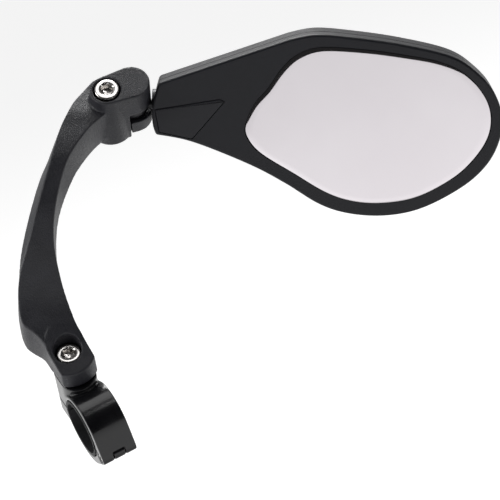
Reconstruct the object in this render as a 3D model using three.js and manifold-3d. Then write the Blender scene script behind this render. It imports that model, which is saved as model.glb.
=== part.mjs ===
// Handlebar mirror: a hinged bar clamp, a swivelling bow arm, a ball joint and a convex mirror head.
// Millimetres, +Z up. The origin is the middle of the clamp's bore and +X runs along the handlebar.
import * as THREE from "three";
import { mergeVertices } from "three/addons/utils/BufferGeometryUtils.js";
import Module from "manifold-3d";

const wasm = await Module();
wasm.setup();

const GAP = 0.3; // free play between neighbouring pieces
const ROUND = 40; // sides of a turned piece
const FAR = 60; // length of a cutter that goes right through

// Bar clamp. Its own frame has x along the bar, y towards the bolt and z towards the bolt's head.
const CLAMP_TILT = 32; // degrees about the bar
const CLAMP_WIDTH = 15.2;
const BORE_R = 12.7;
const RING_R = 15.3;
const RING_Y = -1.2; // the outer round is set off from the bore, away from the bolt
const SPLIT = 0.5;
const SEAT_Z = 15.6; // flat top that the arm's foot turns on
const NECK_R = CLAMP_WIDTH / 2;
const NECK_FRONT_Y = 12.8;
const BOLT_Y = 18.3;
const JAW_NECK_Z = -8;
const PIN_Y = -16.9;
const PIN_Z = -1.9; // the hinge end hangs below the split
const PIN_R = 1;
const KNUCKLE_R = 2.6;
const BOLT_TIP_Z = -4.7;
const PLAY = 0.2; // thin gap under a washer or a screw's head
const PIVOT_WASHER_H = 0.4;
const KNUCKLE_HALF = 2.4; // half the width of the jaw's middle knuckle
const BAR_R = 11.1;
const SHIM_R = BORE_R - GAP;

// M6 socket-head screws
const HEAD_R = 5;
const HEAD_H = 6;
const CORE_R = 2.5; // root of the thread
const SHANK_R = 2.9;
const THREAD_R = 3; // a tapped hole or nut, at the thread's outside
const CLEAR_R = 3.3;
const SOCKET_R = 2.9; // across the corners of the 5 mm hexagon
const SOCKET_DEPTH = 3.2;
const HEAD_CHAMFER = 0.4;

// Arm. Its frame starts on the seat, over the bolt, with z out of the front of the bow.
const ARM_SWIVEL = -27;
const ARM_RISE = 42;
const ARM_ROLL = -5.5;
const FOOT_GAP = 0.8;
const FOOT_HALF = 7.8; // half the foot's width
const FOOT_X = 0.2;
const FOOT_FRONT_R = 11.2; // shallow round of the foot's front end, about the bolt
const FOOT_BACK_Y = 3;
// the foot's side profile in the arm's frame: height, front z
const FOOT_PROFILE = [[-14, 20], [-0.7, 13], [4.8, 10.3], [10.8, 8], [18, 6.8]];
const WEB_TOP = 3.2; // bottom of the bolt's recess over the seat
const RECESS_R = 5.65;
// front edge and depth of the bow at rising heights:
// height, left crease x, right edge x, front z, depth, back left x, back right x
const BOW = [
  [4.8, -7.2, 9.6, 10.3, 11.4, -7.6, 8.5],
  [10.8, -10.9, 6.8, 8.0, 13.4, -11.3, 5.7],
  [14.4, -14.4, 4.7, 7.0, 15.0, -15.7, 3.8],
  [18.0, -19.0, 2.8, 6.8, 16.0, -19.4, 2.1],
  [26.7, -20.7, -0.5, 7.5, 14.5, -21.8, -1.1],
  [37.0, -20.0, -3.3, 10.0, 12.0, -21.6, -3.9],
  [51.9, -15.4, -5.6, 14.0, 10.5, -20.1, -5.3],
  [66.4, -11.6, -4.5, 16.3, 9.8, -16.6, -4.1],
  [83.8, -6.8, -0.1, 14.8, 11.5, -12.1, 1.5],
  [90.9, -5.0, 3.8, 12.2, 13.0, -9.8, 4.8],
  [98.1, -3.1, 9.0, 8.5, 15.0, -8.2, 8.8],
  [103.7, -0.8, 15.2, 5.5, 17.0, -5.8, 12.5],
  [108.2, 1.3, 17.0, 2.0, 16.0, -0.6, 15.5],
  [112.6, 4.6, 17.0, -1.6, 13.0, 2.6, 15.5],
  [117.5, 8.6, 16.0, -5.0, 11.0, 7.0, 15.0],
];
const BOW_STEPS = 60;
const DRAW_ANGLE = 40; // slant of the bow's side walls

// Ball joint. Its frame has z along the barrel and x from the clamp bolt to the ball.
const BALL_AT = [24.6, 108.2, -8.8]; // in the arm's frame
const JOINT_TILT = -30;
const JOINT_TURN = 22.5;
const BALL_R = 5.2;
const LINER_R = 6.2;
const BARREL_R = 7.7;
const BOSS_R = 7; // at the cap
const BOSS_DRAFT_R = 8.3;
const BOSS_DRAFT_Z = 3; // height where the boss starts to draw in
const BOSS_X = -10.3;
const CAP_Z = 15.4;
const BOSS_BASE_R = 9.3; // the boss is widest just over its rounded bottom
const BOSS_BASE_Z = -11;
const BOSS_FOOT_R = 6.5;
const BOSS_FOOT_Z = -14;
const BASE_Z = -12.2;
const JAW_BASE_Z = -9.6;
const TONGUE_BASE_Z = -11.2;
const SLOT_HALF = 2.8; // half the height of the neck's window
const JAW_X = -3.8; // split between the arm's boss and the socket jaw
const POCKET_HALF = 5.4;
const TONGUE_X = -16.6;
const TONGUE_TOP = -5.6;
const RECESS_Z = 9.1;
const CAP_RECESS_R = 5.6;
const SCREW_TOP = 15.9;
const SCREW_END = -11.8;
const NUT_H = 3.2;
const NUT_R = 5.77; // across the corners of a 10 mm nut
const NUT_Z = -10.9;
const WASHER_H = 0.6;

// Ball stud, along x from the ball
const NECK_STUD_R = 2.1;
const COLLAR_X = 8.2;
const COLLAR_END_X = 13.4;
const COLLAR_R = 6.1;
const SHAFT_R = 4;
const SHAFT_END_X = 34;
const GROOVE_X = 28;

// Mirror head. Its frame has x along the head, y up it and z out of the glass, from the ball.
const HEAD_TILT = 20;
const FRONT_Z = 9;
const SEAM_Z = 3;
const RIM_Z = -4;
const DOME_Z = -14;
const WALL = 2;
const SNOUT_R = 9.6; // round nose of the shell, along the stud
const SNOUT_X = 4;
const SNOUT_TAPER_X = 36;
const SNOUT_ROUND_X = 46;
const SNOUT_END_X = 54;
const DOME_MIDDLE = [90, -8];
const LENS_Z = 8.5; // front of the glass at its edge
const LENS_T = 2;
const LENS_MIDDLE = [98, -8];
const LENS_BALL_R = 1200; // radius of the convex face
const LENS_HALF = 52; // where the convex face is at its edge height
const LENS_FLOOR = 4;
const PAD_T = 0.8;
const COVER_T = 1.4;
const OUTLINE_STEPS = 60;
const LENS_STEPS = 56;
const EDGE_CORNER = [[11.1, 10.8], [9.8, -10.9]];
const EDGE_LEFT = [6.2, -4];
// the head's edge from its lower left corner, under and round to the long straight top edge
const EDGE_ROUND = [
  [9.8, -10.9], [24.9, -14.2], [47.9, -23.8], [62.8, -32], [76.8, -41], [88.8, -45.2], [103, -46.4],
  [116.8, -44.2], [129.8, -38.2], [141.8, -29.5], [149.3, -19], [152, -6], [148.3, 6], [140.8, 14.8],
  [129.8, 21.8], [109.3, 26.8], [88.8, 29.8], [74.8, 30.8], [64.4, 28.9],
];
const LENS_EDGE = [
  [46.4, -7.2], [50, 1.8], [55.6, 8.6], [61.4, 17.1], [67.4, 22.6], [76.8, 25.6], [94, 24.7],
  [109.4, 22.6], [125, 19.5], [135.8, 14.2], [144.3, 4.6], [147.2, -4.9], [145.2, -14.8],
  [137.3, -25.6], [127, -33.3], [115.3, -38.7], [101.8, -40.6], [90.1, -39.5], [79.4, -35.6],
  [65.9, -27.2], [53.2, -19.3], [47.7, -13.2],
];
const COVER_EDGE = [[9, 0.2], [36.4, 4.6], [38.6, 3.2], [24.7, -13.2], [10.7, -10.1]];
const COVER_INSET = 0.5;
const SADDLE = { x0: 17, x1: 31, half: 9.7, top: 5.4 };
const STUD_SCREW_Y = 6.6;
const STUD_SCREW_X = 24;
const STUD_SCREW_R = 1.3;
const STUD_SCREW_HEAD_R = 2.6;
const STUD_SCREW_END = -7.2;

// ---------- solids ----------

function toSolid(geometry) {
  const bare = geometry.clone();
  bare.deleteAttribute("normal");
  bare.deleteAttribute("uv");
  const merged = mergeVertices(bare, 1e-4);
  return new wasm.Manifold(new wasm.Mesh({
    numProp: 3,
    vertProperties: new Float32Array(merged.attributes.position.array),
    triVerts: new Uint32Array(merged.index.array),
  }));
}

function toGeometry(solid) {
  const mesh = solid.getMesh();
  const geometry = new THREE.BufferGeometry();
  geometry.setAttribute("position", new THREE.BufferAttribute(mesh.vertProperties, 3));
  geometry.setIndex(new THREE.BufferAttribute(mesh.triVerts, 1));
  geometry.computeVertexNormals();
  return geometry;
}

function join(first, ...others) {
  return others.reduce((sum, next) => sum.add(next), first);
}

function cut(first, ...others) {
  return others.reduce((rest, next) => rest.subtract(next), first);
}

const turn = (degrees) => THREE.MathUtils.degToRad(degrees);

// stands a shape up: its x goes to y, its y to z and its depth to x
const ACROSS = new THREE.Matrix4().makeBasis(
  new THREE.Vector3(0, 1, 0), new THREE.Vector3(0, 0, 1), new THREE.Vector3(1, 0, 0),
);

// a round bar along z from z0 to z1
function bar(r, z0, z1, x = 0, y = 0, sides = ROUND, frame = null) {
  const geometry = new THREE.CylinderGeometry(r, r, z1 - z0, sides);
  geometry.rotateX(Math.PI / 2).translate(x, y, (z0 + z1) / 2);
  return toSolid(frame ? geometry.applyMatrix4(frame) : geometry);
}

// a round bar along x from x0 to x1
function rod(r, x0, x1, y = 0, z = 0, sides = ROUND) {
  const geometry = new THREE.CylinderGeometry(r, r, x1 - x0, sides);
  return toSolid(geometry.rotateZ(Math.PI / 2).translate((x0 + x1) / 2, y, z));
}

function block(x0, x1, y0, y1, z0, z1, frame = null) {
  const geometry = new THREE.BoxGeometry(x1 - x0, y1 - y0, z1 - z0);
  geometry.translate((x0 + x1) / 2, (y0 + y1) / 2, (z0 + z1) / 2);
  return toSolid(frame ? geometry.applyMatrix4(frame) : geometry);
}

function slab(shape, z0, z1, frame = null, curveSegments = 22) {
  const options = { depth: z1 - z0, bevelEnabled: false, curveSegments };
  const geometry = new THREE.ExtrudeGeometry(shape, options).translate(0, 0, z0);
  return toSolid(frame ? geometry.applyMatrix4(frame) : geometry);
}

function ball(r, width = 24, height = 14) {
  return toSolid(new THREE.SphereGeometry(r, width, height));
}

// a turned piece about z from [radius, z] pairs that start and end on the axis
function turned(profile, sides = ROUND) {
  const points = profile.map(([r, z]) => new THREE.Vector2(r, z));
  return toSolid(new THREE.LatheGeometry(points, sides).rotateX(Math.PI / 2));
}

// two circles on the x axis and the tangents that join them
function oblong(x1, r1, x2, r2) {
  const a = Math.acos((r1 - r2) / (x2 - x1));
  const shape = new THREE.Shape();
  shape.absarc(x1, 0, r1, a, 2 * Math.PI - a, false);
  shape.absarc(x2, 0, r2, -a, a, false);
  return shape;
}

function hexagon(r) {
  const shape = new THREE.Shape();
  for (let i = 0; i < 6; i += 1) {
    const a = (i * Math.PI) / 3;
    shape[i ? "lineTo" : "moveTo"](r * Math.cos(a), r * Math.sin(a));
  }
  return shape;
}

function material(color, roughness, metalness) {
  return new THREE.MeshStandardMaterial({ color, roughness, metalness });
}

const BLACK_METAL = material(0x17181a, 0.3, 0.6);
const STEEL = material(0xb9bcc0, 0.3, 1);
const MOULDED = material(0x2c2d31, 0.65, 0);
const RUBBER = material(0x3a3b3d, 0.8, 0);
const GLASS = material(0xdcd8da, 0.06, 1);
const FOAM = material(0x3f4144, 0.95, 0);

function add(group, name, solid, finish) {
  const mesh = new THREE.Mesh(toGeometry(solid), finish);
  mesh.name = name;
  group.add(mesh);
  return mesh;
}

// ---------- screws ----------

// a socket-head screw whose head starts at z = 0 and whose shank goes down
function socketScrew(shankR, length) {
  const body = turned([
    [0, -length], [shankR - 0.5, -length], [shankR, -length + 0.5], [shankR, 0], [HEAD_R, 0],
    [HEAD_R, HEAD_H - HEAD_CHAMFER], [HEAD_R - HEAD_CHAMFER, HEAD_H], [0, HEAD_H],
  ]);
  return body.subtract(slab(hexagon(SOCKET_R), HEAD_H - SOCKET_DEPTH, HEAD_H + 1));
}

function moved(solid, x, y, z) {
  return toSolid(toGeometry(solid).translate(x, y, z));
}

// ---------- bar clamp ----------

// one half of the ring and of the taper that runs from it to the hinge
function ringHalf(sign) {
  const edge = (sign * SPLIT) / 2;
  const half = sign > 0
    ? block(-FAR, FAR, -FAR, FAR, edge, FAR)
    : block(-FAR, FAR, -FAR, FAR, -FAR, edge);
  const side = CLAMP_WIDTH / 2;
  const droop = new THREE.Matrix4().makeRotationZ(Math.atan2(-PIN_Z, RING_Y - PIN_Y));
  const frame = ACROSS.clone().multiply(new THREE.Matrix4().makeTranslation(RING_Y, 0, 0)).multiply(droop);
  const outline = oblong(-Math.hypot(RING_Y - PIN_Y, PIN_Z), KNUCKLE_R, 0, RING_R);
  return slab(outline, -side, side, frame, 32).intersect(half);
}

function neck(z0, z1) {
  const shape = new THREE.Shape();
  shape.absarc(0, NECK_FRONT_Y, NECK_R, Math.PI, 2 * Math.PI, false);
  shape.absarc(0, BOLT_Y, NECK_R, 0, Math.PI, false);
  return slab(shape, z0, z1);
}

const bore = () => rod(BORE_R, -FAR, FAR, 0, 0, 72);
const pinHole = () => rod(PIN_R + GAP, -FAR, FAR, PIN_Y, PIN_Z, 20);

function clampBody() {
  const outer = KNUCKLE_HALF + GAP;
  const side = CLAMP_WIDTH / 2;
  const solid = join(
    ringHalf(1), neck(SPLIT / 2, SEAT_Z),
    rod(KNUCKLE_R, -side, -outer, PIN_Y, PIN_Z, 24), rod(KNUCKLE_R, outer, side, PIN_Y, PIN_Z, 24),
  );
  return cut(
    solid, bore(), pinHole(), bar(CLEAR_R, -1, FAR, 0, BOLT_Y, 28),
    rod(KNUCKLE_R + GAP, -outer, outer, PIN_Y, PIN_Z, 24),
  );
}

function clampJaw() {
  const side = CLAMP_WIDTH / 2 + 1;
  const clearance = KNUCKLE_R + GAP;
  const ends = join(
    rod(clearance, -side, -KNUCKLE_HALF, PIN_Y, PIN_Z, 24),
    rod(clearance, KNUCKLE_HALF, side, PIN_Y, PIN_Z, 24),
  );
  const solid = join(ringHalf(-1), neck(JAW_NECK_Z, -SPLIT / 2)).subtract(ends);
  const knuckle = rod(KNUCKLE_R, -KNUCKLE_HALF, KNUCKLE_HALF, PIN_Y, PIN_Z, 24);
  return cut(
    solid.add(knuckle), bore(), pinHole(), bar(THREAD_R, -FAR, 1, 0, BOLT_Y, 28),
  );
}

function shimHalf(sign) {
  const sleeve = rod(SHIM_R, -CLAMP_WIDTH / 2 - 0.2, CLAMP_WIDTH / 2 + 0.2, 0, 0, 56);
  const tube = sleeve.subtract(rod(BAR_R, -FAR, FAR, 0, 0, 56));
  const gap = 0.45;
  const half = sign > 0
    ? block(-FAR, FAR, -FAR, FAR, gap, FAR)
    : block(-FAR, FAR, -FAR, FAR, -FAR, -gap);
  return tube.intersect(half);
}

function frictionWasher() {
  const z0 = SEAT_Z + PLAY;
  const disc = bar(NECK_R - 2 * PLAY, z0, z0 + PIVOT_WASHER_H, 0, BOLT_Y);
  return disc.subtract(bar(CLEAR_R, 0, FAR, 0, BOLT_Y, 28));
}

function buildClamp() {
  const group = new THREE.Group();
  const boltHeadZ = SEAT_Z + WEB_TOP + PLAY;
  add(group, "clamp_body", clampBody(), BLACK_METAL);
  add(group, "clamp_jaw", clampJaw(), BLACK_METAL);
  const pin = rod(PIN_R, GAP - CLAMP_WIDTH / 2, CLAMP_WIDTH / 2 - GAP, PIN_Y, PIN_Z, 20);
  add(group, "clamp_hinge_pin", pin, STEEL);
  add(group, "bar_shim_upper", shimHalf(1), RUBBER);
  add(group, "bar_shim_lower", shimHalf(-1), RUBBER);
  add(group, "pivot_friction_washer", frictionWasher(), RUBBER);
  const bolt = socketScrew(CORE_R, boltHeadZ - BOLT_TIP_Z);
  add(group, "clamp_bolt", moved(bolt, 0, BOLT_Y, boltHeadZ), STEEL);
  group.rotation.x = turn(CLAMP_TILT);
  return group;
}

// ---------- arm ----------

function armTurn() {
  const z = new THREE.Vector3(0, 0, 1);
  const swivel = new THREE.Quaternion().setFromAxisAngle(z, turn(ARM_SWIVEL));
  const rise = new THREE.Quaternion().setFromAxisAngle(new THREE.Vector3(1, 0, 0), turn(ARM_RISE));
  const roll = new THREE.Quaternion().setFromAxisAngle(z, turn(ARM_ROLL));
  return swivel.multiply(rise).multiply(roll);
}

// from the seat's frame, with z along the bolt, to the arm's frame
function seatInArm() {
  return new THREE.Matrix4().makeRotationFromQuaternion(armTurn().invert());
}

// from the ball joint's frame to the arm's frame
function jointInArm() {
  const tilt = new THREE.Matrix4().makeRotationX(turn(JOINT_TILT));
  const spin = new THREE.Matrix4().makeRotationZ(turn(JOINT_TURN));
  return new THREE.Matrix4().makeTranslation(...BALL_AT).multiply(tilt).multiply(spin);
}

// the four long edges of the bow as smooth curves
function bowEdges() {
  const back = (y, depth) => y - depth * Math.sin(turn(DRAW_ANGLE));
  const behind = (z, depth) => z - depth * Math.cos(turn(DRAW_ANGLE));
  const rows = [
    BOW.map(([y, left, , z]) => new THREE.Vector3(left, y, z)),
    BOW.map(([y, , right, z]) => new THREE.Vector3(right, y, z)),
    BOW.map(([y, , , z, d, , right]) => new THREE.Vector3(right, back(y, d), behind(z, d))),
    BOW.map(([y, , , z, d, left]) => new THREE.Vector3(left, back(y, d), behind(z, d))),
  ];
  return rows.map((row) => new THREE.CatmullRomCurve3(row, false, "centripetal"));
}

// triangles that close a ring, wound the way the ring is
function capFaces(ring) {
  const flat = ring.map((p) => new THREE.Vector2(p.x, p.y));
  const faces = THREE.ShapeUtils.triangulateShape(flat, []);
  const same = THREE.ShapeUtils.area(faces[0].map((i) => flat[i])) * THREE.ShapeUtils.area(flat) > 0;
  return same ? faces : faces.map(([a, b, c]) => [c, b, a]);
}

// a closed skin over rings of equal length
function loft(rings) {
  const n = rings[0].length;
  const positions = rings.flat().flatMap((p) => [p.x, p.y, p.z]);
  const index = [];
  for (let i = 0; i + 1 < rings.length; i += 1) {
    for (let j = 0; j < n; j += 1) {
      const [a, b] = [i * n + j, i * n + ((j + 1) % n)];
      index.push(a, b, b + n, a, b + n, a + n);
    }
  }
  const last = (rings.length - 1) * n;
  capFaces(rings[0]).forEach(([a, b, c]) => index.push(c, b, a));
  capFaces(rings.at(-1)).forEach(([a, b, c]) => index.push(last + a, last + b, last + c));
  const geometry = new THREE.BufferGeometry();
  geometry.setAttribute("position", new THREE.Float32BufferAttribute(positions, 3));
  geometry.setIndex(index);
  return toSolid(geometry);
}

function bow() {
  const edges = bowEdges();
  const rings = [];
  for (let i = 0; i <= BOW_STEPS; i += 1) {
    rings.push(edges.map((edge) => edge.getPoint(i / BOW_STEPS)));
  }
  return loft(rings);
}

// the foot that turns on the seat, cut to the bow's front
function foot(seat) {
  const plan = new THREE.Shape();
  const corner = Math.asin(FOOT_HALF / FOOT_FRONT_R);
  plan.absarc(FOOT_X, 0, FOOT_FRONT_R, -Math.PI / 2 - corner, -Math.PI / 2 + corner, false);
  plan.absarc(FOOT_X, FOOT_BACK_Y, FOOT_HALF, 0, Math.PI, false);
  const [low, high] = [FOOT_PROFILE[0], FOOT_PROFILE.at(-1)];
  const side = new THREE.Shape(vectors([[high[0], -FAR], [low[0], -FAR], ...FOOT_PROFILE]));
  return slab(plan, FOOT_GAP, FAR, seat).intersect(slab(side, -FAR, FAR, ACROSS));
}

function jointBody(frame) {
  const boss = new THREE.LatheGeometry([
    new THREE.Vector2(0, BOSS_FOOT_Z), new THREE.Vector2(BOSS_FOOT_R, BOSS_FOOT_Z),
    new THREE.Vector2(BOSS_BASE_R, BOSS_BASE_Z), new THREE.Vector2(BOSS_DRAFT_R, BOSS_DRAFT_Z),
    new THREE.Vector2(BOSS_R, CAP_Z), new THREE.Vector2(0, CAP_Z),
  ], ROUND).rotateX(Math.PI / 2).translate(BOSS_X, 0, 0).applyMatrix4(frame);
  const shell = slab(oblong(BOSS_X, BOSS_R, 0, BARREL_R), BASE_Z, CAP_Z, frame).add(toSolid(boss));
  const open = block(JAW_X, FAR, -FAR, FAR, -FAR, SLOT_HALF, frame);
  return shell.subtract(open);
}

function arm() {
  const seat = seatInArm();
  const joint = jointInArm();
  const solid = join(bow(), foot(seat), jointBody(joint));
  const cavity = new THREE.SphereGeometry(LINER_R + GAP, 24, 14).applyMatrix4(joint);
  return cut(
    solid,
    block(-FAR, FAR, -FAR, FAR, -FAR, FOOT_GAP, seat),
    bar(RECESS_R, WEB_TOP, FAR, 0, 0, 40, seat),
    bar(CLEAR_R, -1, FAR, 0, 0, 28, seat),
    toSolid(cavity),
    block(JAW_X, FAR, -BARREL_R - 1, BARREL_R + 1, -FAR, SLOT_HALF, joint),
    bar(CAP_RECESS_R, RECESS_Z, FAR, BOSS_X, 0, 40, joint),
    bar(CLEAR_R, -FAR, FAR, BOSS_X, 0, 28, joint),
    block(TONGUE_X - GAP, JAW_X + 1, -POCKET_HALF, POCKET_HALF, -FAR, TONGUE_TOP + GAP, joint),
  );
}

// ---------- ball joint ----------

function socketJaw() {
  const barrel = slab(oblong(BOSS_X, BOSS_R, 0, BARREL_R), JAW_BASE_Z, -SLOT_HALF);
  const front = barrel.intersect(block(JAW_X + GAP, FAR, -FAR, FAR, -FAR, FAR));
  const half = POCKET_HALF - GAP;
  const tongue = block(TONGUE_X, JAW_X + 2, -half, half, TONGUE_BASE_Z, TONGUE_TOP);
  const inside = slab(oblong(BOSS_X, BOSS_R - 1, 0, BARREL_R), TONGUE_BASE_Z, 0);
  const solid = join(front, tongue.intersect(inside));
  return cut(
    solid, ball(LINER_R + GAP), bar(CLEAR_R, -FAR, FAR, BOSS_X, 0, 28),
    moved(slab(hexagon(NUT_R + GAP), -FAR, NUT_Z + NUT_H + GAP), BOSS_X, 0, 0),
  );
}

// a thin friction shell round the ball, open where the neck leaves and at both poles
function ballLiner() {
  const shell = ball(LINER_R).subtract(ball(BALL_R + GAP));
  const window = block(0, FAR, -NECK_STUD_R - 0.6, NECK_STUD_R + 0.6, -SLOT_HALF, SLOT_HALF);
  return cut(shell, window, bar(1.5, -FAR, FAR, 0, 0, 20));
}

function ballNut() {
  const nut = slab(hexagon(NUT_R - 0.05), NUT_Z, NUT_Z + NUT_H);
  return moved(nut.subtract(bar(CLEAR_R, -FAR, FAR, 0, 0, 28)), BOSS_X, 0, 0);
}

function ballWasher() {
  const z0 = RECESS_Z + PLAY;
  const disc = bar(CAP_RECESS_R - GAP, z0, z0 + WASHER_H, BOSS_X);
  return disc.subtract(bar(CLEAR_R, 0, FAR, BOSS_X, 0, 28));
}

function buildJoint() {
  const group = new THREE.Group();
  add(group, "socket_jaw", socketJaw(), MOULDED);
  add(group, "ball_liner", ballLiner(), RUBBER).rotation.z = turn(-JOINT_TURN);
  add(group, "ball_clamp_nut", ballNut(), STEEL);
  add(group, "ball_clamp_washer", ballWasher(), STEEL);
  const headZ = SCREW_TOP - HEAD_H;
  const screw = socketScrew(SHANK_R, headZ - SCREW_END);
  add(group, "ball_clamp_screw", moved(screw, BOSS_X, 0, headZ), STEEL);
  group.position.set(...BALL_AT);
  group.rotation.set(turn(JOINT_TILT), 0, 0);
  group.rotateZ(turn(JOINT_TURN));
  return group;
}

// ---------- mirror head ----------

function ballStud() {
  const shaft = join(
    rod(NECK_STUD_R, 3, COLLAR_X + 1, 0, 0, 28), rod(COLLAR_R, COLLAR_X, COLLAR_END_X, 0, 0, 36),
    rod(SHAFT_R, COLLAR_END_X - 1, SHAFT_END_X, 0, 0, 32), ball(BALL_R),
  );
  const groove = rod(SHAFT_R + 1, GROOVE_X, GROOVE_X + 2.4).subtract(
    rod(SHAFT_R - 1, GROOVE_X - 1, GROOVE_X + 4, 0, 0, 32),
  );
  return shaft.subtract(groove);
}

const vectors = (pairs) => pairs.map(([x, y]) => new THREE.Vector2(x, y));

// the head's outline as points, anticlockwise from the lower left corner
function headEdge() {
  const round = new THREE.SplineCurve(vectors(EDGE_ROUND)).getPoints(OUTLINE_STEPS);
  const corners = vectors(EDGE_CORNER);
  const left = vectors([EDGE_LEFT])[0];
  const end = new THREE.QuadraticBezierCurve(corners[0], left, corners[1]).getPoints(6);
  return [...round, ...end.slice(0, -1)];
}

function lensEdge() {
  const closed = vectors([...LENS_EDGE].reverse().concat([[...LENS_EDGE].reverse()[0]]));
  return new THREE.SplineCurve(closed).getPoints(LENS_STEPS).slice(0, -1);
}

// an outline moved along its normals, outwards for a positive distance
function grown(points, distance) {
  const n = points.length;
  return points.map((p, i) => {
    const before = points[(i + n - 1) % n];
    const along = points[(i + 1) % n].clone().sub(before).normalize();
    return new THREE.Vector2(p.x + along.y * distance, p.y - along.x * distance);
  });
}

const plate = (points, z0, z1) => slab(new THREE.Shape(points), z0, z1);

// the head's outline drawn in towards its middle as it goes back
function dome(points, rimZ, backZ, inset) {
  const middle = new THREE.Vector2(...DOME_MIDDLE);
  const rings = [grown(points, -inset).map((p) => new THREE.Vector3(p.x, p.y, SEAM_Z - GAP))];
  const levels = 5;
  for (let i = 0; i <= levels; i += 1) {
    const angle = (i / levels) * turn(80);
    const scale = Math.cos(angle) ** 0.6;
    const z = rimZ + (backZ - rimZ) * Math.sin(angle);
    rings.push(grown(points, -inset).map((p) => {
      const q = p.clone().sub(middle).multiplyScalar(scale).add(middle);
      return new THREE.Vector3(q.x, q.y, z);
    }));
  }
  return loft(rings.reverse());
}

// the round snout that holds the stud
function snout(r, x0, edge) {
  const profile = [[0, x0], [r, x0], [r, SNOUT_TAPER_X], [r * 0.8, SNOUT_ROUND_X], [0, SNOUT_END_X]];
  const points = profile.map(([radius, x]) => new THREE.Vector2(radius, x));
  const geometry = new THREE.LatheGeometry(points, 36).rotateZ(-Math.PI / 2);
  return toSolid(geometry).intersect(plate(edge, -FAR, SEAM_Z - GAP));
}

function studScrewHole(side) {
  return bar(STUD_SCREW_R + GAP, STUD_SCREW_END - GAP, 1, STUD_SCREW_X, side * STUD_SCREW_Y, 20);
}

function rearShell() {
  const edge = headEdge();
  const outer = join(dome(edge, RIM_Z, DOME_Z, 0), snout(SNOUT_R, SNOUT_X, edge));
  const nose = snout(SNOUT_R - WALL, SNOUT_X, grown(edge, -WALL));
  const inner = join(dome(edge, RIM_Z, DOME_Z + WALL, WALL), nose);
  const lift = block(0, 200, -FAR, FAR, SEAM_Z - GAP - 0.2, SEAM_Z + 1);
  const cradle = block(SADDLE.x0, SADDLE.x1, -SADDLE.half + 1, SADDLE.half - 1, -9, -GAP);
  const hollow = cut(outer, inner, plate(grown(edge, -WALL), -1, SEAM_Z + 1), lift);
  const filled = join(hollow, cradle.intersect(outer));
  return cut(
    filled, rod(COLLAR_R + GAP, 0, COLLAR_END_X + GAP, 0, 0, 36),
    rod(SHAFT_R + GAP, 0, SHAFT_END_X + GAP, 0, 0, 32),
    ...[-1, 1].map((side) => studScrewHole(side)),
  );
}

function bezel() {
  const edge = headEdge();
  const lens = lensEdge();
  const chamfer = 1.2;
  const level = (inset, z) => grown(edge, -inset).map((p) => new THREE.Vector3(p.x, p.y, z));
  const body = loft([level(0, SEAM_Z), level(0, FRONT_Z - chamfer), level(chamfer, FRONT_Z)]);
  const { x0, x1, half, top } = SADDLE;
  return cut(
    body,
    plate(grown(lens, 0.4), LENS_FLOOR, FAR),
    plate(coverEdge(0), FRONT_Z - COVER_T - GAP, FAR),
    block(x0 - GAP, x1 + GAP, -half - GAP, half + GAP, 0, top + 0.6),
    rod(COLLAR_R + GAP, 0, COLLAR_END_X + GAP, 0, 0, 36),
    rod(SHAFT_R + GAP, 0, SHAFT_END_X + GAP, 0, 0, 32),
  );
}

function coverEdge(inset) {
  return grown(vectors([...COVER_EDGE].reverse()), -inset);
}

// the glass: an even sheet bent to a large ball
function lens() {
  const edge = lensEdge();
  const middle = new THREE.Vector2(...LENS_MIDDLE);
  const bulge = (p) => {
    const d = p.distanceTo(middle);
    return Math.sqrt(LENS_BALL_R ** 2 - d * d) - Math.sqrt(LENS_BALL_R ** 2 - LENS_HALF ** 2);
  };
  const ring = (scale, drop) => edge.map((p) => {
    const q = p.clone().sub(middle).multiplyScalar(scale).add(middle);
    return new THREE.Vector3(q.x, q.y, LENS_Z - drop + bulge(q));
  });
  const scales = [0.04, 0.35, 0.68, 1];
  const back = scales.map((s) => ring(s, LENS_T));
  const front = [...scales].reverse().map((s) => ring(s, 0));
  return loft([...back, ...front]);
}

function saddle() {
  const { x0, x1, half, top } = SADDLE;
  const holes = [-1, 1].flatMap((side) => [
    bar(STUD_SCREW_R + GAP, -1, FAR, STUD_SCREW_X, side * STUD_SCREW_Y, 20),
    bar(STUD_SCREW_HEAD_R + GAP, top - 2, FAR, STUD_SCREW_X, side * STUD_SCREW_Y, 24),
  ]);
  const solid = block(x0, x1, -half, half, 0, top);
  return cut(solid, rod(SHAFT_R + GAP, 0, FAR, 0, 0, 32), ...holes);
}

function studScrew(side) {
  const top = SADDLE.top;
  const solid = join(
    bar(STUD_SCREW_R, STUD_SCREW_END, top - 0.5, 0, 0, 20), bar(STUD_SCREW_HEAD_R, top - 1.8, top, 0, 0, 24),
  );
  const cross = join(
    block(-1.4, 1.4, -0.3, 0.3, top - 0.9, top + 1), block(-0.3, 0.3, -1.4, 1.4, top - 0.9, top + 1),
  );
  return moved(solid.subtract(cross), STUD_SCREW_X, side * STUD_SCREW_Y, 0);
}

function buildHead() {
  const group = new THREE.Group();
  add(group, "ball_stud", ballStud(), STEEL);
  add(group, "mirror_rear_shell", rearShell(), MOULDED);
  add(group, "mirror_bezel", bezel(), MOULDED);
  add(group, "stud_cover", plate(coverEdge(COVER_INSET), FRONT_Z - COVER_T, FRONT_Z), MOULDED);
  add(group, "mirror_lens", lens(), GLASS);
  add(group, "lens_pad", plate(grown(lensEdge(), -3), LENS_FLOOR + GAP, LENS_FLOOR + GAP + PAD_T), FOAM);
  add(group, "stud_saddle", saddle(), MOULDED);
  add(group, "stud_screw_lower", studScrew(-1), STEEL);
  add(group, "stud_screw_upper", studScrew(1), STEEL);
  group.position.set(...BALL_AT);
  group.rotation.x = turn(HEAD_TILT);
  return group;
}

// ---------- whole mirror ----------

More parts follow.
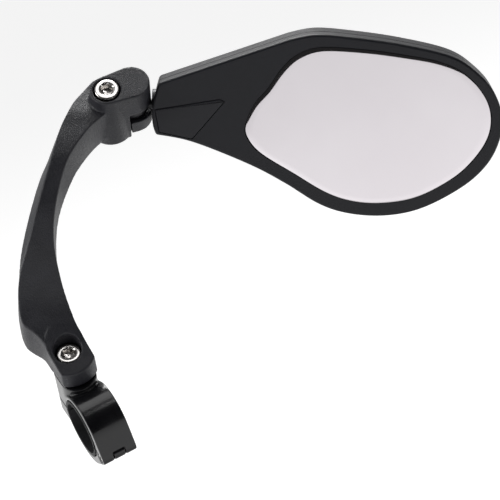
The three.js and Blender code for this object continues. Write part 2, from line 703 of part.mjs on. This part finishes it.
function buildMirror() {
  const mirror = new THREE.Group();
  const clamp = buildClamp();
  const armGroup = new THREE.Group();
  armGroup.position.set(0, BOLT_Y, SEAT_Z);
  armGroup.quaternion.copy(armTurn());
  add(armGroup, "arm", arm(), MOULDED);
  armGroup.add(buildJoint(), buildHead());
  clamp.add(armGroup);
  mirror.add(clamp);
  return mirror;
}

export default buildMirror();
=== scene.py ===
"""Looks for a handlebar mirror: clamp, bow arm, ball joint and mirror head.

Lengths in the helper calls are millimetres in a piece's own frame; its matrix puts them in the model's frame.
"""
import math

import bmesh
import bpy
from mathutils import Matrix, Vector


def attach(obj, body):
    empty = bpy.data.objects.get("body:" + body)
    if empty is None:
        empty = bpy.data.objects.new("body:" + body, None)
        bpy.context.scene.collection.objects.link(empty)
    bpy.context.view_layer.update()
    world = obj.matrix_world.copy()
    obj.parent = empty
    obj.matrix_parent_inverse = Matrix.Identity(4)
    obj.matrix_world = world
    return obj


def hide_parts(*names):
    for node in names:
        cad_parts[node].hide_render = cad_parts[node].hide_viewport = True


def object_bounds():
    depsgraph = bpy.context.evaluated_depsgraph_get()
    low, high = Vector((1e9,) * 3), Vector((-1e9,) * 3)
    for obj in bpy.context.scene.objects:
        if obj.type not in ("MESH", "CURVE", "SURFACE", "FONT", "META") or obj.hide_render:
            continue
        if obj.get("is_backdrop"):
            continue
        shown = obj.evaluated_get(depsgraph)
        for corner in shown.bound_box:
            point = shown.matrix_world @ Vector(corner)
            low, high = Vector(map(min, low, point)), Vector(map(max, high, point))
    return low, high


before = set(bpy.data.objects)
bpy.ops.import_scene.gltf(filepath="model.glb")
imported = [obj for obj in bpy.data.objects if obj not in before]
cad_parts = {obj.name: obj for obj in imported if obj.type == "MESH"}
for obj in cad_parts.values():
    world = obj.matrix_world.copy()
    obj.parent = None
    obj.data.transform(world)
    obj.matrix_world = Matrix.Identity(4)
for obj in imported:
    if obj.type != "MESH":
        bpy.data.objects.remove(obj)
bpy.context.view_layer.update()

MM = 0.001


def rotation(axis, degrees):
    return Matrix.Rotation(math.radians(degrees), 4, axis)


def shift(x, y, z):
    return Matrix.Translation((x * MM, y * MM, z * MM))


BOLT_Y = 18.3
SEAT_Z = 15.6  # where the arm rests on the clamp
BOLT_HEAD_Z = 19.0
BALL_SCREW_X = -10.3
BALL_SCREW_HEAD_Z = 9.9

# The clamp's frame has z along its bolt, and the joint's has z along the barrel.
# The head's frame has x along the stud and z out of the glass.
CLAMP_FRAME = rotation("X", 32)
SEAT_FRAME = CLAMP_FRAME @ shift(0, BOLT_Y, SEAT_Z)
ARM_FRAME = SEAT_FRAME @ rotation("Z", -27) @ rotation("X", 42) @ rotation("Z", -5.5)
BALL_FRAME = ARM_FRAME @ shift(24.6, 108.2, -8.8)
JOINT_FRAME = BALL_FRAME @ rotation("X", -30) @ rotation("Z", 22.5)
HEAD_FRAME = BALL_FRAME @ rotation("X", 20)


# ---------- materials ----------


def node(tree, kind, **values):
    made = tree.nodes.new(kind)
    for key, value in values.items():
        if hasattr(made, key):
            setattr(made, key, value)
        else:
            made.inputs[key.replace("_", " ")].default_value = value
    return made


def blank_material(name, roughness, metallic, specular):
    """A material and its shader, with the even values on the shader's own sockets."""
    material = bpy.data.materials.new(name)
    material.use_nodes = True
    shader = material.node_tree.nodes["Principled BSDF"]
    shader.inputs["Roughness"].default_value = roughness
    shader.inputs["Metallic"].default_value = metallic
    shader.inputs["Specular IOR Level"].default_value = specular
    return material, shader


def place_noise(tree, scale, detail=3.0, stretch=(1, 1, 1)):
    """Noise in the object's own metres."""
    coordinates = node(tree, "ShaderNodeTexCoord")
    mapping = node(tree, "ShaderNodeMapping")
    mapping.inputs["Scale"].default_value = stretch
    noise = node(tree, "ShaderNodeTexNoise", Scale=scale, Detail=detail)
    tree.links.new(coordinates.outputs["Object"], mapping.inputs["Vector"])
    tree.links.new(mapping.outputs["Vector"], noise.inputs["Vector"])
    return noise


def two_tone(tree, shader, noise, dark, light, pale_edge):
    """Base colour between two tones, and a paler tone on sharp convex edges."""
    ramp = node(tree, "ShaderNodeValToRGB")
    ramp.color_ramp.elements[0].position = 0.35
    ramp.color_ramp.elements[0].color = (*dark, 1)
    ramp.color_ramp.elements[1].position = 0.68
    ramp.color_ramp.elements[1].color = (*light, 1)
    tree.links.new(noise.outputs["Fac"], ramp.inputs["Fac"])
    colour = ramp.outputs["Color"]
    if pale_edge:
        geometry = node(tree, "ShaderNodeNewGeometry")
        edge = node(tree, "ShaderNodeMapRange", From_Min=0.53, From_Max=0.66, To_Min=0.0, To_Max=0.5)
        mix = node(tree, "ShaderNodeMix", data_type="RGBA")
        mix.inputs[7].default_value = (*pale_edge, 1)
        tree.links.new(geometry.outputs["Pointiness"], edge.inputs["Value"])
        tree.links.new(edge.outputs["Result"], mix.inputs[0])
        tree.links.new(colour, mix.inputs[6])
        colour = mix.outputs[2]
    tree.links.new(colour, shader.inputs["Base Color"])


def uneven_roughness(tree, shader, noise, low, high):
    spread = node(tree, "ShaderNodeMapRange", From_Min=0.3, From_Max=0.7, To_Min=low, To_Max=high)
    tree.links.new(noise.outputs["Fac"], spread.inputs["Value"])
    tree.links.new(spread.outputs["Result"], shader.inputs["Roughness"])


def grain(tree, shader, noises, depth):
    """A bump from the sum of the noises."""
    total = noises[0].outputs["Fac"]
    for noise in noises[1:]:
        add = node(tree, "ShaderNodeMath", operation="ADD")
        tree.links.new(total, add.inputs[0])
        tree.links.new(noise.outputs["Fac"], add.inputs[1])
        total = add.outputs["Value"]
    bump = node(tree, "ShaderNodeBump", Strength=1.0, Distance=depth)
    tree.links.new(total, bump.inputs["Height"])
    tree.links.new(bump.outputs["Normal"], shader.inputs["Normal"])


def surface(name, dark, light, rough, metallic, specular, cloud, fine, depth, pale_edge=None, stretch=(1, 1, 1)):
    """A finish with uneven colour, uneven roughness between the two rough values, and a fine grain."""
    material, shader = blank_material(name, rough[0], metallic, specular)
    tree = material.node_tree
    clouds = place_noise(tree, cloud, 4.0)
    two_tone(tree, shader, clouds, dark, light, pale_edge)
    uneven_roughness(tree, shader, clouds, *rough)
    grains = [place_noise(tree, scale, 2.0, stretch) for scale in fine]
    grain(tree, shader, grains, depth)
    return material


ARM_PLASTIC = surface(
    "moulded_arm_plastic", (0.0115, 0.0117, 0.0155), (0.019, 0.0193, 0.0248), (0.34, 0.48), 0.0, 0.42,
    90, (1500, 3600), 0.00013, pale_edge=(0.05, 0.05, 0.056),
)
HOUSING_PLASTIC = surface(
    "moulded_housing_plastic", (0.0076, 0.0079, 0.0112), (0.0106, 0.011, 0.0148), (0.36, 0.46), 0.0, 0.32,
    60, (2600, 5200), 0.00003,
)
CLAMP_LACQUER = surface(
    "clamp_black_lacquer", (0.005, 0.005, 0.006), (0.008, 0.008, 0.0095), (0.16, 0.24), 0.0, 0.5,
    120, (700, 1500), 0.00001, pale_edge=(0.03, 0.03, 0.034),
)
STEEL = surface(
    "stainless_screw_steel", (0.66, 0.64, 0.62), (0.76, 0.74, 0.72), (0.17, 0.27), 1.0, 0.5,
    300, (1600, 4200), 0.0000025, stretch=(1, 1, 0.3),
)
BLACK_STEEL = surface(
    "black_oxide_steel", (0.012, 0.012, 0.014), (0.022, 0.022, 0.024), (0.30, 0.42), 0.6, 0.5,
    300, (1800, 3900), 0.00002,
)
RUBBER = surface(
    "shim_rubber", (0.012, 0.012, 0.013), (0.020, 0.020, 0.022), (0.60, 0.78), 0.0, 0.35,
    200, (1400, 3000), 0.00006,
)
WASHER = surface(
    "washer_polymer", (0.014, 0.014, 0.016), (0.022, 0.022, 0.025), (0.35, 0.5), 0.0, 0.45,
    250, (1600, 3600), 0.00003,
)
FOAM = surface(
    "pad_foam", (0.05, 0.05, 0.055), (0.09, 0.09, 0.095), (0.85, 0.95), 0.0, 0.2,
    400, (900, 2600), 0.0002,
)
GLASS = surface(
    "convex_mirror_glass", (0.71, 0.672, 0.70), (0.735, 0.70, 0.727), (0.03, 0.09), 1.0, 0.5,
    26, (12, 30), 0.000004,
)


# ---------- meshes ----------


def make(name, points, faces, place, material, smooth=38):
    """A mesh piece from points in millimetres in the frame of place."""
    mesh = bpy.data.meshes.new(name)
    mesh.from_pydata([place @ (Vector(p) * MM) for p in points], [], faces)
    mesh.validate()
    mesh.materials.append(material)
    piece = bpy.data.objects.new(name, mesh)
    bpy.context.scene.collection.objects.link(piece)
    mesh.shade_smooth()
    mesh.set_sharp_from_angle(angle=math.radians(smooth))
    return piece


def skin(rings):
    """Points and faces of a tube over rings of equal length, closed by one face at each end."""
    count = len(rings[0])
    points = [p for ring in rings for p in ring]
    faces = []
    for i in range(len(rings) - 1):
        for j in range(count):
            k = (j + 1) % count
            faces.append((i * count + j, i * count + k, (i + 1) * count + k, (i + 1) * count + j))
    faces.append(tuple(reversed(range(count))))
    faces.append(tuple(range(len(points) - count, len(points))))
    return points, faces


def apply_modifiers(piece):
    """Puts the result of the piece's modifiers into its mesh."""
    bpy.context.view_layer.update()
    graph = bpy.context.evaluated_depsgraph_get()
    mesh = bpy.data.meshes.new_from_object(piece.evaluated_get(graph))
    piece.modifiers.clear()
    piece.data = mesh
    return piece


def weld(piece, dissolve=0.0):
    """Joins split vertices, and takes out edges between faces flatter than dissolve degrees."""
    bm = bmesh.new()
    bm.from_mesh(piece.data)
    bmesh.ops.remove_doubles(bm, verts=bm.verts, dist=1e-6)
    if dissolve:
        bmesh.ops.dissolve_limit(
            bm, angle_limit=math.radians(dissolve), verts=bm.verts, edges=bm.edges, delimit={"NORMAL"}
        )
    bmesh.ops.recalc_face_normals(bm, faces=bm.faces)
    bm.to_mesh(piece.data)
    bm.free()
    return piece


def from_node(name, cad_node, material):
    """A new piece that starts as the shape of a CAD node and stands for it."""
    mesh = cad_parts[cad_node].data.copy()
    mesh.materials.clear()
    mesh.materials.append(material)
    piece = bpy.data.objects.new(name, mesh)
    bpy.context.scene.collection.objects.link(piece)
    return piece


def bevelled(name, cad_node, material, width):
    """The node's shape with its sharp edges rounded."""
    piece = weld(from_node(name, cad_node, material), 0.6)
    bevel = piece.modifiers.new("edge_round", "BEVEL")
    bevel.width = width * MM
    bevel.segments = 3
    bevel.limit_method = "ANGLE"
    bevel.angle_limit = math.radians(32)
    bevel.use_clamp_overlap = True
    bevel.miter_outer = "MITER_ARC"
    apply_modifiers(piece)
    piece.data.shade_smooth()
    piece.data.set_sharp_from_angle(angle=math.radians(40))
    return piece


def moulded(name, cad_node, material, voxel, rounds):
    """The node's shape as a moulding: every edge gets a small round."""
    piece = weld(from_node(name, cad_node, material))
    remesh = piece.modifiers.new("even_mesh", "REMESH")
    remesh.mode = "VOXEL"
    remesh.voxel_size = voxel * MM
    smooth = piece.modifiers.new("edge_round", "SMOOTH")
    smooth.factor = 0.5
    smooth.iterations = rounds
    apply_modifiers(piece)
    piece.data.shade_smooth()
    return piece


def settle(piece, body, slot, *nodes):
    """Rides the piece on its body and hides the CAD nodes it stands for; the slot is not used."""
    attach(piece, body)
    if nodes:
        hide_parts(*nodes)
    return piece


# ---------- screws ----------

SIDES = 96  # corners round a screw: 48 knurls, 16 to each flat of the hexagon


def circle(r, z, notch=0.0):
    """A ring of points; every other one is notch nearer the axis."""
    ring = []
    for i in range(SIDES):
        a = 2 * math.pi * i / SIDES
        radius = r - notch * (i % 2)
        ring.append((radius * math.cos(a), radius * math.sin(a), z))
    return ring


def hexagon(across_flats, z):
    ring = []
    for i in range(SIDES):
        a = 2 * math.pi * i / SIDES
        within = (a % (math.pi / 3)) - math.pi / 6
        r = across_flats / 2 / math.cos(within)
        ring.append((r * math.cos(a), r * math.sin(a), z))
    return ring


def thread(root, crest, low, high, pitch=1.0, steps=6):
    """Rings of a helical thread from low up to high."""
    rings = []
    count = int((high - low) / pitch * steps)
    for row in range(count + 1):
        z = low + row * pitch / steps
        ring = []
        for i in range(SIDES):
            turn = (z / pitch - i / SIDES) % 1.0
            r = root + (crest - root) * (1 - abs(2 * turn - 1))
            a = 2 * math.pi * i / SIDES
            ring.append((r * math.cos(a), r * math.sin(a), z))
        rings.append(ring)
    return rings


def socket_screw(name, place, shank, length, threaded):
    """A knurled socket-head screw: head from z = 0 to 6, 5 mm hexagon, thread on its lower end."""
    rings = [circle(shank - 0.7, -length)]
    rings += thread(shank - 0.35, shank, -length + 0.4, -length + threaded)
    rings += [circle(shank, -length + threaded + 0.4), circle(shank, -0.3), circle(shank + 0.3, 0)]
    rings += [circle(4.75, 0), circle(4.93, 0.12), circle(4.96, 0.35)]
    rings += [circle(5.0, 0.5, 0.17), circle(5.0, 5.0, 0.17)]
    rings += [circle(4.94, 5.15), circle(4.93, 5.45), circle(4.82, 5.75)]
    rings += [circle(4.6, 5.93), circle(4.35, 6.0), circle(3.35, 6.0), circle(3.12, 5.9)]
    rings += [hexagon(5.12, 5.55), hexagon(5.0, 5.35), hexagon(5.0, 2.95)]
    rings += [circle(2.3, 2.8), circle(0.3, 2.45)]
    points, faces = skin(rings)
    return make(name, points, faces, place, STEEL, smooth=30)


# ---------- mirror head ----------


def spline(points, count):
    """Points along a uniform Catmull-Rom curve through the given ones."""
    out = []
    for i in range(count + 1):
        t = i / count * (len(points) - 1)
        k = min(int(t), len(points) - 2)
        w = t - k
        p1, p2 = Vector(points[k]), Vector(points[k + 1])
        p0 = Vector(points[k - 1]) if k else p1
        p3 = Vector(points[k + 2]) if k + 2 < len(points) else p2
        v0, v1 = (p2 - p0) / 2, (p3 - p1) / 2
        out.append(
            (2 * p1 - 2 * p2 + v0 + v1) * w**3 + (-3 * p1 + 3 * p2 - 2 * v0 - v1) * w**2 + v0 * w + p1
        )
    return out


# the head's edge from its lower left corner, under and round to the long straight top edge
EDGE_ROUND = (
    (9.8, -10.9), (24.9, -14.2), (47.9, -23.8), (62.8, -32), (76.8, -41), (88.8, -45.2), (103, -46.4),
    (116.8, -44.2), (129.8, -38.2), (141.8, -29.5), (149.3, -19), (152, -6), (148.3, 6), (140.8, 14.8),
    (129.8, 21.8), (109.3, 26.8), (88.8, 29.8), (74.8, 30.8), (64.4, 28.9),
)
EDGE_CORNER = ((11.1, 10.8), (9.8, -10.9))
EDGE_LEFT = (6.2, -4)
LENS_EDGE = (
    (46.4, -7.2), (50, 1.8), (55.6, 8.6), (61.4, 17.1), (67.4, 22.6), (76.8, 25.6), (94, 24.7),
    (109.4, 22.6), (125, 19.5), (135.8, 14.2), (144.3, 4.6), (147.2, -4.9), (145.2, -14.8),
    (137.3, -25.6), (127, -33.3), (115.3, -38.7), (101.8, -40.6), (90.1, -39.5), (79.4, -35.6),
    (65.9, -27.2), (53.2, -19.3), (47.7, -13.2),
)
SEAM_Z = 3.0
FRONT_Z = 9.0
RIM_Z = -4.0  # where the back starts to draw in
BACK_Z = -14.0
CUP_MIDDLE = Vector((90, -8))
CUP_ROUND = math.radians(80)
CUP_STEPS = 24
RIM_ROUND = 1.1
LENS_MIDDLE = Vector((98, -8))
LENS_Z = 8.5  # front of the glass at its edge
LENS_THICKNESS = 2.0
LENS_BALL_R = 1200
LENS_HALF = 52  # where the glass's bulge is nil
COVER_GAP = 0.5
NOSE_R = 9.6
STUD_SCREWS = (24, 6.6)  # along the stud, and to each side of it
SADDLE_END_X = 31.3
COLLAR_CUT = (6.4, -5, 13.7)  # radius, start and end along the stud
SHAFT_CUT = (4.3, -5, 34.3)
COVER_EDGE = ((9, 0.2), (36.4, 4.6), (38.6, 3.2), (24.7, -13.2), (10.7, -10.1))


def bezier(a, b, c, count):
    return [a * (1 - t) ** 2 + b * 2 * t * (1 - t) + c * t * t for t in (i / count for i in range(count + 1))]


def head_edge():
    """The head's outline, anticlockwise, with its corners a little rounded."""
    top, low = (Vector(p) for p in EDGE_CORNER)
    path = spline(EDGE_ROUND, 150) + bezier(top, Vector(EDGE_LEFT), low, 20)[:-1]
    return rounded(path, 1.1)


def rounded(path, radius):
    """A closed path with its sharp corners cut to a curve that starts radius from each."""
    out = []
    for i, p in enumerate(path):
        before, after = path[i - 1], path[(i + 1) % len(path)]
        a, b = (before - p), (after - p)
        if a.length and b.length and a.normalized().dot(b.normalized()) > -0.93:
            reach = min(radius, a.length * 0.9, b.length * 0.9)
            out += bezier(p + a.normalized() * reach, p, p + b.normalized() * reach, 5)
        else:
            out.append(p)
    return out


def closed_spline(points, steps):
    """The same curve run round a closed outline, with steps points from one given point to the next."""
    n = len(points)
    path = spline([points[i % n] for i in range(-2, n + 3)], steps * (n + 4))
    return path[2 * steps : (n + 2) * steps]


def grown(path, distance):
    """An anticlockwise path moved outwards along its normals."""
    out = []
    for i, p in enumerate(path):
        along = (path[(i + 1) % len(path)] - path[i - 1]).normalized()
        out.append(p + Vector((along.y, -along.x)) * distance)
    return out


def level(path, z):
    return [(p.x, p.y, z) for p in path]


def prism(name, path, low, high):
    """A plain cutter between two heights of the head's frame."""
    points, faces = skin([level(path, low), level(path, high)])
    return make(name, points, faces, HEAD_FRAME, WASHER)


def combine(piece, other, operation):
    """Joins, cuts or trims the piece with another closed piece, which is then deleted."""
    change = piece.modifiers.new("change", "BOOLEAN")
    change.operation = operation
    change.solver = "EXACT"
    change.object = other
    apply_modifiers(piece)
    bpy.data.objects.remove(other)
    return piece


def carve(piece, cutters):
    """Takes each cutter out of the piece."""
    for cutter in cutters:
        combine(piece, cutter, "DIFFERENCE")
    return piece


def soften(piece, width):
    """Rounds the piece's sharp edges and shades it smooth, with its large faces flat."""
    weld(piece, 0.3)
    bevel = piece.modifiers.new("edge_round", "BEVEL")
    bevel.width = width * MM
    bevel.segments = 2
    bevel.limit_method = "ANGLE"
    bevel.angle_limit = math.radians(34)
    apply_modifiers(piece)
    piece.data.shade_smooth()
    piece.data.set_sharp_from_angle(angle=math.radians(35))
    even = piece.modifiers.new("flat_faces_first", "WEIGHTED_NORMAL")
    even.keep_sharp = True
    return apply_modifiers(piece)


def around_stud(profile, sides):
    """Rings about the stud from (place along it, radius) pairs."""
    angles = [2 * math.pi * i / sides for i in range(sides)]
    return [[(x, r * math.cos(a), r * math.sin(a)) for a in angles] for x, r in profile]


def cylinder(name, r, x0, x1):
    """A round cutter along the stud."""
    points, faces = skin(around_stud(((x0, r), (x1, r)), 72))
    return make(name, points, faces, HEAD_FRAME, WASHER)


def bezel():
    """The front frame: a rounded rim, the lens pocket, the cover's recess and the stud's bore."""
    edge = head_edge()
    rings = [level(grown(edge, -0.25), SEAM_Z), level(edge, SEAM_Z + 0.25)]
    for step in range(7):
        a = math.radians(15 * step)
        inset = RIM_ROUND * (1 - math.cos(a))
        rings.append(level(grown(edge, -inset), FRONT_Z - RIM_ROUND * (1 - math.sin(a))))
    points, faces = skin(rings)
    piece = make("bezel_frame", points, faces, HEAD_FRAME, HOUSING_PLASTIC)
    lens = [Vector(p) for p in reversed(closed_spline(LENS_EDGE, 8))]
    cover = [Vector(p) for p in reversed(COVER_EDGE)]
    carve(piece, [
        prism("cut_lens", grown(lens, 0.15), 4.0, 30),
        prism("cut_cover", grown(rounded(cover, 0.8), -0.25), FRONT_Z - 1.7, 30),
        cylinder("cut_collar", *COLLAR_CUT),
        cylinder("cut_shaft", *SHAFT_CUT),
        box_cutter("cut_saddle", (15.5, -10, 0), (SADDLE_END_X, 10, 6.0)),
    ])
    return soften(piece, 0.22)


def box_cutter(name, low, high):
    (x0, y0, z0), (x1, y1, z1) = low, high
    return prism(name, [Vector(p) for p in ((x0, y0), (x1, y0), (x1, y1), (x0, y1))], z0, z1)


def cover():
    """The flush triangular cover over the stud, slightly crowned at its edge."""
    edge = rounded([Vector(p) for p in reversed(COVER_EDGE)], 0.9)
    profile = ((COVER_GAP, 1.4), (0.42, 0.5), (0.47, 0.18), (0.62, 0.04), (0.85, 0))
    points, faces = skin([level(grown(edge, -inset), FRONT_Z - depth) for inset, depth in profile])
    return make("stud_cover_plate", points, faces, HEAD_FRAME, HOUSING_PLASTIC)


def convex_lens():
    """The glass: a sheet bent to a large ball, with a ground edge."""
    edge = [Vector(p) for p in reversed(closed_spline(LENS_EDGE, 8))]

    def ring(scale, drop, inset=0.0):
        out = []
        for p in grown(edge, -inset):
            from_middle = (p - LENS_MIDDLE) * scale
            q = from_middle + LENS_MIDDLE
            height = math.sqrt(LENS_BALL_R**2 - from_middle.length_squared)
            bulge = height - math.sqrt(LENS_BALL_R**2 - LENS_HALF**2)
            out.append((q.x, q.y, LENS_Z - drop + bulge))
        return out

    rings = [ring(s, LENS_THICKNESS) for s in (0.02, 0.4, 0.8)]
    rings += [ring(1, LENS_THICKNESS, 0.35), ring(1, 1.7, 0.05)]
    rings += [ring(1, 0.35, 0.0), ring(1, 0.12, 0.12), ring(1, 0.0, 0.4)]
    rings += [ring(s, 0.0) for s in (0.93, 0.8, 0.66, 0.52, 0.38, 0.24, 0.12, 0.02)]
    points, faces = skin(rings)
    return make("convex_mirror_sheet", points, faces, HEAD_FRAME, GLASS, smooth=25)


def rear_shell():
    """The housing's back: a hollow dome drawn in from the rim, and a solid nose that cradles the stud."""
    edge = head_edge()
    shell = dome("rear_dome", edge)
    combine(shell, snout("rear_snout", edge), "UNION")
    carve(shell, [
        cylinder("cut_collar", *COLLAR_CUT),
        cylinder("cut_shaft", *SHAFT_CUT),
        box_cutter("cut_saddle", (16.7, -10, 0), (SADDLE_END_X, 10, 30)),
        screw_cutter("cut_screw_low", -1),
        screw_cutter("cut_screw_high", 1),
    ])
    return soften(shell, 0.3)


def dome(name, edge):
    """A cup that is open at the seam and whose outline shrinks as it goes back."""
    outside = cup_rings(edge, 1.0, BACK_Z)
    inside = cup_rings(edge, 0.955, BACK_Z + 2)
    points, faces = skin(outside + inside[::-1])
    return make(name, points, faces, HEAD_FRAME, HOUSING_PLASTIC)


def cup_rings(edge, size, back):
    """Rings from the back of the cup up to its lip, at a size about the cup's middle."""
    levels = [(size, SEAM_Z - 0.3), (size, 0.5)]
    for step in range(CUP_STEPS + 1):
        a = CUP_ROUND * step / CUP_STEPS
        levels.append((size * math.cos(a) ** 0.6, RIM_Z + (back - RIM_Z) * math.sin(a)))
    return [level([(p - CUP_MIDDLE) * scale + CUP_MIDDLE for p in edge], z) for scale, z in reversed(levels)]


def screw_cutter(name, side):
    """The hole of one stud screw."""
    middle = Vector((STUD_SCREWS[0], side * STUD_SCREWS[1]))
    angles = [math.tau * i / 32 for i in range(32)]
    ring = [middle + 1.6 * Vector((math.cos(a), math.sin(a))) for a in angles]
    return prism(name, ring, -7.5, 1)


def snout(name, edge):
    """A round nose along the stud, trimmed to the head's outline and to the seam."""
    shares = ((3, 1), (36, 1), (40, 0.96), (44, 0.86), (48, 0.68), (51, 0.45), (53, 0.15))
    points, faces = skin(around_stud([(x, NOSE_R * share) for x, share in shares], 96))
    nose = make(name, points, faces, HEAD_FRAME, HOUSING_PLASTIC)
    keep = prism("keep_outline", grown(edge, -0.05), -30, SEAM_Z - 0.35)
    return combine(nose, keep, "INTERSECT")


# ---------- pieces ----------

settle(moulded("arm_moulding", "arm", ARM_PLASTIC, 0.3, 16), "arm", "arm_moulded", "arm")
settle(
    moulded("socket_jaw_moulding", "socket_jaw", ARM_PLASTIC, 0.25, 12),
    "socket", "arm_moulded", "socket_jaw",
)
settle(
    moulded("clamp_body_casting", "clamp_body", CLAMP_LACQUER, 0.24, 18),
    "clamp", "clamp_black", "clamp_body",
)
settle(
    moulded("clamp_jaw_casting", "clamp_jaw", CLAMP_LACQUER, 0.24, 18),
    "jaw", "clamp_black", "clamp_jaw",
)
settle(
    socket_screw("clamp_bolt_knurled", CLAMP_FRAME @ shift(0, BOLT_Y, BOLT_HEAD_Z), 2.5, 23.7, 14),
    "bolt", "screw_steel", "clamp_bolt",
)
BALL_SCREW_FRAME = JOINT_FRAME @ shift(BALL_SCREW_X, 0, BALL_SCREW_HEAD_Z)
settle(
    socket_screw("ball_clamp_screw_knurled", BALL_SCREW_FRAME, 2.9, 21.7, 12),
    "arm", "screw_steel", "ball_clamp_screw",
)
settle(bevelled("ball_stud_turned", "ball_stud", BLACK_STEEL, 0.25), "stud", "stud_black", "ball_stud")
settle(bezel(), "head", "housing_moulded", "mirror_bezel")
settle(rear_shell(), "head", "housing_moulded", "mirror_rear_shell")
settle(cover(), "head", "housing_moulded", "stud_cover")
settle(convex_lens(), "head", "mirror_glass", "mirror_lens")

CARRIED_OVER = {
    "clamp_hinge_pin": STEEL,
    "bar_shim_upper": RUBBER,
    "bar_shim_lower": RUBBER,
    "pivot_friction_washer": WASHER,
    "ball_liner": WASHER,
    "ball_clamp_nut": STEEL,
    "ball_clamp_washer": STEEL,
    "lens_pad": FOAM,
    "stud_saddle": HOUSING_PLASTIC,
    "stud_screw_lower": STEEL,
    "stud_screw_upper": STEEL,
}
for cad_node, finish in CARRIED_OVER.items():
    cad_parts[cad_node].data.materials.clear()
    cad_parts[cad_node].data.materials.append(finish)


# ---------- floor, light and camera ----------


FLOOR_DROP = 0.26
FLOOR_HALF = 8


def floor():
    """A pale glowing floor some way below the mirror, with a painted shadow: its glow is nearly dark right
    under it.
    """
    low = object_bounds()[0]
    mesh = bpy.data.meshes.new("floor")
    z = low[2] - FLOOR_DROP
    corners = [(x * FLOOR_HALF, y * FLOOR_HALF, z) for x, y in ((-1, -1), (1, -1), (1, 1), (-1, 1))]
    mesh.from_pydata(corners, [], [(0, 1, 2, 3)])
    piece = bpy.data.objects.new("floor", mesh)
    bpy.context.scene.collection.objects.link(piece)
    material, shader = blank_material("pale_floor_painted_shadow", 0.9, 0.0, 0.1)
    shader.inputs["Base Color"].default_value = (0.5, 0.5, 0.5, 1)
    shader.inputs["Emission Color"].default_value = (1, 1, 1, 1)
    tree = material.node_tree
    coordinates = node(tree, "ShaderNodeTexCoord")
    distance = node(tree, "ShaderNodeVectorMath", operation="LENGTH")
    # painted shadow: the glow is 0.1 out to 0.33 m from the floor's middle, under the mirror, and rises to
    # 0.78 by 0.43 m
    glow_and_painted_shadow = node(tree, "ShaderNodeMapRange", From_Min=0.33, From_Max=0.43, To_Min=0.1, To_Max=0.78)
    tree.links.new(coordinates.outputs["Object"], distance.inputs["Vector"])
    tree.links.new(distance.outputs["Value"], glow_and_painted_shadow.inputs["Value"])
    tree.links.new(glow_and_painted_shadow.outputs["Result"], shader.inputs["Emission Strength"])
    mesh.materials.append(material)
    piece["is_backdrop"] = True


def softbox(name, place, target, size, power):
    light = bpy.data.lights.new(name, "AREA")
    light.shape = "RECTANGLE"
    light.size, light.size_y = size
    light.energy = power
    lamp = bpy.data.objects.new(name, light)
    bpy.context.scene.collection.objects.link(lamp)
    lamp.location = place
    lamp.rotation_euler = (Vector(target) - Vector(place)).to_track_quat("-Z", "Y").to_euler()


def sky():
    """White behind and above, dimmer on the side the glass faces."""
    world = bpy.data.worlds.new("studio")
    bpy.context.scene.world = world
    world.use_nodes = True
    tree = world.node_tree
    background = tree.nodes["Background"]
    coordinates = node(tree, "ShaderNodeTexCoord")
    split = node(tree, "ShaderNodeSeparateXYZ")
    spread = node(tree, "ShaderNodeMapRange", From_Min=-0.5, From_Max=0.8, To_Min=0.02, To_Max=0.5)
    tree.links.new(coordinates.outputs["Generated"], split.inputs["Vector"])
    tree.links.new(split.outputs["Y"], spread.inputs["Value"])
    tree.links.new(spread.outputs["Result"], background.inputs["Color"])
    background.inputs["Strength"].default_value = 1.0


def camera():
    """A long lens from the left, a little above, with the camera rolled as in the view."""
    right = Vector((0.85276, -0.40584, -0.32879))
    up = Vector((0.42294, 0.16717, 0.89061))
    back = Vector((-0.30647, -0.89853, 0.31419))
    data = bpy.data.cameras.new("camera")
    data.sensor_width = 36
    data.lens = 123.48
    data.clip_start = 0.01
    eye = bpy.data.objects.new("camera", data)
    bpy.context.scene.collection.objects.link(eye)
    turn = Matrix((right, up, back)).transposed().to_4x4()
    eye.matrix_world = Matrix.Translation((-0.1321, -0.6426, 0.2613)) @ turn
    bpy.context.scene.camera = eye


floor()
sky()
softbox("top_box", (0.5, 0.55, 0.85), (0.05, 0, 0.08), (0.5, 0.5), 8)
softbox("ceiling", (0.3, -0.08, 1.0), (0.05, 0, 0.08), (0.5, 0.62), 1.9)
softbox("left_box", (-0.8, 0.15, 0.55), (0.03, 0, 0.05), (0.5, 0.8), 6)
softbox("front_box", (0.25, -0.42, 0.75), (0.0, 0, 0.0), (0.1, 0.1), 0.25)
camera()
bpy.context.scene.view_settings.view_transform = "Standard"
